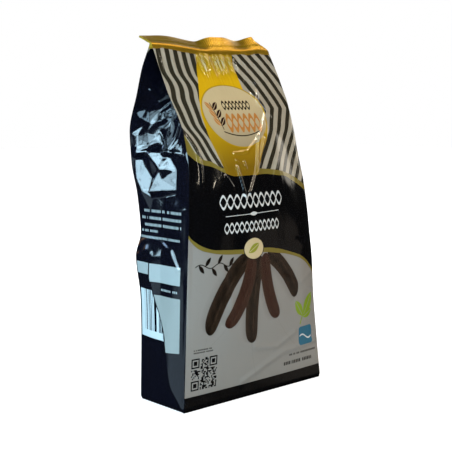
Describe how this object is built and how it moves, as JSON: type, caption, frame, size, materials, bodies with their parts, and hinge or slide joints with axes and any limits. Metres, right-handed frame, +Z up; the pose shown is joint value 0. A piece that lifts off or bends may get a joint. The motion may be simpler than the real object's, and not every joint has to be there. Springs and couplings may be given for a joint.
{
  "type": "film bag of carob pods",
  "caption": "Standing side-gusseted film bag with a crimped, gathered top seal and a flat folded base, filled with whole upright carob pods.",
  "frame": {"origin": "on the floor, in the middle of the flat base", "axes": "+Z up the bag, -Y out of the printed front panel, +X to the right as the front is read"},
  "size_m": [0.1555, 0.0698, 0.2813],
  "materials": {
    "printed_film": "gloss laminated film with print",
    "gold_seal": "gloss gold film, crimped",
    "carob_pod": "dry, semi-matt pod skin"
  },
  "bodies": {
    "root": {"bag_film": "printed_film", "top_seal": "gold_seal", "back_seam": "printed_film", "base_seal": "printed_film", "pod_01": "carob_pod", "pod_02": "carob_pod", "pod_03": "carob_pod", "pod_04": "carob_pod", "pod_05": "carob_pod", "pod_06": "carob_pod", "pod_07": "carob_pod", "pod_08": "carob_pod", "pod_09": "carob_pod", "pod_10": "carob_pod", "pod_11": "carob_pod", "pod_12": "carob_pod", "pod_13": "carob_pod", "pod_14": "carob_pod", "pod_15": "carob_pod", "pod_16": "carob_pod", "pod_17": "carob_pod", "pod_18": "carob_pod", "pod_19": "carob_pod", "pod_20": "carob_pod", "pod_21": "carob_pod", "pod_22": "carob_pod", "pod_23": "carob_pod", "pod_24": "carob_pod"}
  },
  "joints": []
}
